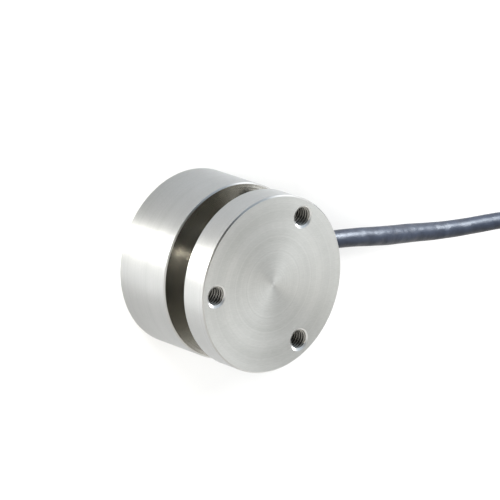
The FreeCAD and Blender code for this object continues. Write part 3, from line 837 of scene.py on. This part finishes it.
def coil_polar(tree):
    """Angle about the coil's middle, and the way round the coil's section as radius plus height."""
    from_coil = moved(tree, object_place(tree), Location=(-COIL_CENTER[0], -COIL_CENTER[1], 0.0))
    parts = split(tree, from_coil)
    radius = hypotenuse(tree, parts[0], parts[1])
    return worked_out(tree, "ARCTAN2", parts[1], parts[0]), worked_out(tree, "ADD", radius, parts[2])


def woven_tie():
    """Woven strap: warp and weft threads as two crossed waves, one of the angle about the coil, one of the
    way round its section."""
    material, tree, shader = new_finish("woven_tie", Sheen_Weight=0.25, Sheen_Roughness=0.45)
    angle, way = coil_polar(tree)
    warp = worked_out(tree, "SINE", worked_out(tree, "MULTIPLY", angle, WARP_RATE))
    weft = worked_out(tree, "SINE", worked_out(tree, "MULTIPLY", way, WEFT_RATE))
    weave = ranged(tree, worked_out(tree, "MULTIPLY", warp, weft), -1.0, 1.0, 0.0, 1.0)
    wire_up(
        tree, shader,
        Base_Color=blended(tree, weave, (0.010, 0.010, 0.012, 1.0), (0.030, 0.030, 0.034, 1.0)),
        Roughness=ranged(tree, weave, 0.0, 1.0, 0.72, 0.55),
        Normal=relief(tree, weave, depth=0.00006),
    )
    return material


def gauge_film():
    """Amber film with the foil grid of a strain gauge: lines along the radius, drawn by the distance from
    the nearer of the two lines that cross at 45 degrees on the diaphragm."""
    material, tree, shader = new_finish("gauge_film", Coat_Weight=0.4, Coat_Roughness=0.2)
    where = object_place(tree)
    parts = split(tree, moved(tree, where, Rotation=(0.0, 0.0, GRID_ANGLE)))
    across = worked_out(tree, "MINIMUM", *(worked_out(tree, "ABSOLUTE", parts[i]) for i in (0, 1)))
    lines = worked_out(tree, "SINE", worked_out(tree, "MULTIPLY", across, GRID_RATE))
    inside = worked_out(tree, "LESS_THAN", across, GRID_REACH)
    foil = worked_out(tree, "MULTIPLY", worked_out(tree, "GREATER_THAN", lines, GRID_GAP), inside)
    cloud = noise(tree, where, scale=900.0)
    film = blended(tree, cloud, (0.42, 0.20, 0.04, 1.0), (0.55, 0.30, 0.08, 1.0))
    wire_up(
        tree, shader,
        Base_Color=blended(tree, foil, film, (0.66, 0.60, 0.52, 1.0)),
        Metallic=foil,
        Roughness=ranged(tree, foil, 0.0, 1.0, 0.42, 0.28),
        Normal=relief(tree, foil, depth=0.000008),
    )
    return material


def board_laminate():
    """Green laminate with a ring of tinned pads, drawn by the distance from the nearest of eight places
    round it."""
    material, tree, shader = new_finish("board_laminate", Specular_IOR_Level=0.5)
    where = object_place(tree)
    parts = split(tree, where)
    about = worked_out(tree, "ARCTAN2", parts[1], parts[0])
    folded = worked_out(tree, "SINE", worked_out(tree, "MULTIPLY", about, PAD_COUNT / 2))
    sideways = worked_out(tree, "MULTIPLY", folded, PAD_SPREAD)
    radius = hypotenuse(tree, parts[0], parts[1])
    outwards = worked_out(tree, "SUBTRACT", radius, PAD_CIRCLE)
    pad = worked_out(tree, "LESS_THAN", hypotenuse(tree, sideways, outwards), PAD_RADIUS)
    fibre = noise(tree, where, scale=2600.0, detail=3.0)
    green = blended(tree, fibre, (0.010, 0.075, 0.030, 1.0), (0.020, 0.120, 0.050, 1.0))
    wire_up(
        tree, shader,
        Base_Color=blended(tree, pad, green, (0.70, 0.69, 0.66, 1.0)),
        Metallic=pad,
        Roughness=stretched(tree, fibre, low=0.30, high=0.45),
        Normal=relief(tree, pad, depth=0.00003),
    )
    return material


def chip_resistor(node):
    """Dark chip with tinned ends, drawn by the distance along X from the chip's middle."""
    material, tree, shader = new_finish(f"{node}_body")
    low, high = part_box(node)
    middle = (low.x + high.x) / 2
    where = object_place(tree)
    along = split(tree, where)[0]
    from_middle = worked_out(tree, "ABSOLUTE", worked_out(tree, "SUBTRACT", along, middle))
    cap = worked_out(tree, "GREATER_THAN", from_middle, (high.x - low.x) * CAP_START)
    grain = noise(tree, where, scale=3500.0, detail=3.0)
    glaze = blended(tree, grain, (0.012, 0.012, 0.014, 1.0), (0.030, 0.030, 0.034, 1.0))
    wire_up(
        tree, shader,
        Base_Color=blended(tree, cap, glaze, (0.72, 0.71, 0.69, 1.0)),
        Metallic=cap,
        Roughness=stretched(tree, grain, low=0.28, high=0.45),
        Normal=relief(tree, grain, depth=0.00001),
    )
    return material


def tinned_copper():
    """Tinned copper wire: metal with fine streaks and dull spots."""
    material, tree, shader = new_finish("tinned_copper", Metallic=1.0)
    marks = grouped(tree, HANDLING, {"Vector": object_place(tree), "Scale": WIRE_HANDLING})
    spots = stretched(tree, marks["Smudge"])
    wire_up(
        tree, shader,
        Base_Color=blended(tree, spots, (0.58, 0.56, 0.53, 1.0), (0.72, 0.71, 0.69, 1.0)),
        Roughness=stretched(tree, marks["Mark"], low=0.26, high=0.44),
        Normal=relief(tree, marks["Mark"], depth=0.00002),
    )
    return material


def turned_finishes():
    """Finishes of the turned pieces."""
    along_cable = {"Location": (CABLE_RUN[0][2], 0.0, 0.0), "Rotation": (0.0, -math.pi / 2, 0.0)}
    return {
        "wall": turned_metal(
            "turned_wall", (0.420, 0.425, 0.422, 1.0), (0.540, 0.545, 0.542, 1.0),
            smooth=0.44, rough=0.50, pitch=0.00055, anisotropy=0.85,
        ),
        "faced": turned_metal(
            "faced_end", (0.378, 0.374, 0.356, 1.0), (0.546, 0.542, 0.518, 1.0),
            smooth=0.41, rough=0.47, pitch=0.00042, anisotropy=0.62, cut=0.02,
        ),
        "groove": turned_metal(
            "parted_groove", (0.450, 0.440, 0.412, 1.0), (0.590, 0.577, 0.541, 1.0),
            smooth=0.14, rough=0.20, pitch=0.00045, anisotropy=0.55, cut=0.05,
        ),
        # The countersink's metal is paler than the rest of the steel, partly as a painted highlight at the
        # holes' mouths.
        "countersink": turned_metal(
            "countersink_painted_highlight", (0.72, 0.715, 0.70, 1.0), (0.80, 0.795, 0.78, 1.0),
            smooth=0.26, rough=0.32, pitch=0.00030, anisotropy=0.0,
        ),
        "edge": turned_metal(
            "broken_edge", (0.50, 0.495, 0.48, 1.0), (0.57, 0.565, 0.55, 1.0),
            smooth=0.26, rough=0.32, pitch=0.00030, anisotropy=0.0,
        ),
        "plating": turned_metal(
            "plated_gland", (0.56, 0.53, 0.48, 1.0), (0.66, 0.63, 0.58, 1.0),
            smooth=0.24, rough=0.36, pitch=0.00030, anisotropy=0.4, axis="X", mapping=along_cable,
        ),
        "brass": turned_metal(
            "crimp_brass", (0.62, 0.44, 0.20, 1.0), (0.76, 0.57, 0.28, 1.0),
            smooth=0.28, rough=0.42, pitch=0.00025, anisotropy=0.3, axis="X", mapping=along_cable,
        ),
    }


def moulded_finishes():
    """Finishes of the plastic and rubber pieces, with the insulations by their colours."""
    finishes = {
        "rubber": moulded_plastic(
            "seal_rubber", (0.010, 0.010, 0.011, 1.0), (0.022, 0.022, 0.024, 1.0),
            smooth=0.55, rough=0.75, dents=600.0, grain=6000.0, depth=0.00004,
        ),
        "sheath": moulded_plastic(
            "cable_sheath", (0.0100, 0.0130, 0.0210, 1.0), (0.0155, 0.0197, 0.0306, 1.0),
            smooth=0.41, rough=0.49, dents=300.0, grain=1700.0, depth=0.00036, Specular_IOR_Level=0.25,
        ),
        "sleeve": moulded_plastic(
            "shrink_sleeve", (0.008, 0.008, 0.009, 1.0), (0.016, 0.016, 0.018, 1.0),
            smooth=0.38, rough=0.52, dents=420.0, grain=5000.0, depth=0.00012,
        ),
    }
    for shade, (dark, light) in INSULATIONS.items():
        finishes[shade] = moulded_plastic(
            f"insulation_{shade}", dark, light,
            smooth=0.32, rough=0.45, dents=900.0, grain=7000.0, depth=0.00003,
        )
    return finishes


def finish_pieces(body, cable, leads):
    """Gives every piece and every node that still shows its finish."""
    turned = turned_finishes()
    moulded = moulded_finishes()
    tin = tinned_copper()
    film = gauge_film()
    zones = {
        TURNED_WALL: turned["wall"],
        FACED_END: turned["faced"],
        PARTED_GROOVE: turned["groove"],
        TAPPED_HOLE: cut_thread(),
        COUNTERSINK: turned["countersink"],
        EDGE_BREAK: turned["edge"],
    }
    for zone in sorted(zones):
        body.data.materials.append(zones[zone])
    cable.data.materials.append(moulded["sheath"])
    for name, lead in leads.items():
        shade = "grey" if name == "screen_lead" else name.removeprefix("lead_")
        lead.data.materials.append(moulded[shade])
    finishes = {
        "base_cover": turned["faced"],
        "gland_body": turned["plating"],
        "gland_nut": turned["plating"],
        "gland_seal": moulded["rubber"],
        "gland_ring": moulded["rubber"],
        "cable_ferrule": turned["brass"],
        "cable_inner_end": moulded["sheath"],
        "coil_tie": woven_tie(),
        "end_sleeve": moulded["sleeve"],
        "lead_tips": tin,
        "terminal_board": board_laminate(),
        "zero_resistor": chip_resistor("zero_resistor"),
        "span_resistor": chip_resistor("span_resistor"),
    }
    for shade in ("red", "green", "white", "black"):
        finishes[f"core_{shade}"] = moulded[shade]
    for number in range(1, 5):
        finishes[f"strain_gauge_{number}"] = film
        finishes[f"gauge_wires_{number}"] = tin
    for name, finish in finishes.items():
        NODES[name].material_slots[0].material = finish


def shown_rays(tree):
    """One where the ray comes from the camera, a mirror or a glass, and nought elsewhere."""
    rays = place(tree, "ShaderNodeLightPath").outputs
    seen = worked_out(tree, "MAXIMUM", rays["Is Camera Ray"], rays["Is Glossy Ray"])
    return worked_out(tree, "MAXIMUM", seen, rays["Is Transmission Ray"])


def mixed_shader(tree, share, first, second):
    """Shader between two shaders by a share from 0 to 1."""
    inputs = {0: share, 1: first.outputs[0], 2: second.outputs[0]}
    return place(tree, "ShaderNodeMixShader", inputs).outputs[0]


def finish_floor(floor):
    """White floor. Where it is seen, part of its white is its own light, and more of it away from the part,
    so that the shadows stay faint and fade into the backdrop."""
    material = bpy.data.materials.new("white_floor")
    material.use_nodes = True
    tree = material.node_tree
    tree.nodes.clear()
    where = object_place(tree)
    away = place(tree, "ShaderNodeVectorMath", {0: where}, operation="LENGTH").outputs["Value"]
    strength = ranged(tree, away, FLOOR_NEAR, FLOOR_FAR, FLOOR_GLOW_NEAR, FLOOR_GLOW_FAR)
    lit = place(tree, "ShaderNodeBsdfDiffuse", {"Color": FLOOR_LIT})
    glow = place(tree, "ShaderNodeEmission", {"Color": WHITE, "Strength": strength})
    seen = place(tree, "ShaderNodeAddShader", {0: lit.outputs[0], 1: glow.outputs[0]})
    plain = place(tree, "ShaderNodeBsdfDiffuse", {"Color": FLOOR_PLAIN})
    surface = mixed_shader(tree, shown_rays(tree), plain, seen)
    place(tree, "ShaderNodeOutputMaterial", {"Surface": surface})
    floor.data.materials.append(material)


def set_up_world():
    """White studio. What the metal mirrors of it fades to a cooler tone on the side that the picture shows
    on top, and to dark beside the camera."""
    world = bpy.data.worlds.new("studio")
    world.use_nodes = True
    tree = world.node_tree
    tree.nodes.clear()
    outwards = place(tree, "ShaderNodeTexCoord").outputs["Generated"]
    side = ranged(tree, split(tree, outwards)[1], COOL_START, COOL_FULL, 0.0, 1.0)
    ends = {0: outwards, 1: tuple(heading(DARK_AZIMUTH, DARK_ELEVATION))}
    nearness = place(tree, "ShaderNodeVectorMath", ends, operation="DOT_PRODUCT").outputs["Value"]
    shaded = ranged(tree, nearness, DARK_OUTSIDE, DARK_INSIDE, 0.0, 1.0)
    tone = blended(tree, shaded, blended(tree, side, STUDIO_WARM, STUDIO_COOL), STUDIO_DARK)
    studio = place(tree, "ShaderNodeBackground", {"Color": tone, "Strength": STUDIO_LEVEL})
    backdrop = place(tree, "ShaderNodeBackground", {"Color": WHITE, "Strength": 1.0})
    camera_ray = place(tree, "ShaderNodeLightPath").outputs["Is Camera Ray"]
    surface = mixed_shader(tree, camera_ray, studio, backdrop)
    place(tree, "ShaderNodeOutputWorld", {"Surface": surface})
    SCENE.world = world


def softbox(name, aim, azimuth, elevation, distance, size, power, colour, mirrored=True):
    """Soft lamp that faces its aim from a given side. The metal shows its mirror image if it is mirrored."""
    lamp = bpy.data.lights.new(name, "AREA")
    lamp.shape = "RECTANGLE"
    lamp.size, lamp.size_y = size
    lamp.energy = power
    lamp.color = colour
    outwards = Vector(heading(math.radians(azimuth), math.radians(elevation)))
    holder = link(bpy.data.objects.new(name, lamp))
    holder.location = Vector(aim) + distance * outwards
    holder.rotation_euler = outwards.to_track_quat("Z", "Y").to_euler()
    holder.visible_camera = False
    holder.visible_glossy = mirrored
    return holder


def linked_pieces(name, piece, state):
    """Collection of one piece that a lamp's light is meant for or kept off."""
    chosen = bpy.data.collections.new(name)
    chosen.objects.link(piece)
    chosen.collection_objects[0].light_linking.link_state = state
    return chosen


def share_out_light(lamps, body, cable):
    """Keeps the cool lamp off the cable, and gives the cable a lamp of its own that only the body shades."""
    general = lamps["cool_softbox"].light_linking
    general.receiver_collection = linked_pieces("off_the_cable", cable, "EXCLUDE")
    own = lamps["cable_softbox"].light_linking
    own.receiver_collection = linked_pieces("on_the_cable", cable, "INCLUDE")
    own.blocker_collection = linked_pieces("shades_the_cable", body, "INCLUDE")


set_up_camera()
cable = make_cable()
leads = make_leads()
body = make_tapped_body()
floor = make_floor()
finish_pieces(body, cable, leads)
finish_floor(floor)
set_up_world()
lamps = {name: softbox(name, **settings) for name, settings in SOFTBOXES.items()}
share_out_light(lamps, body, cable)
SCENE.view_settings.view_transform = "Standard"
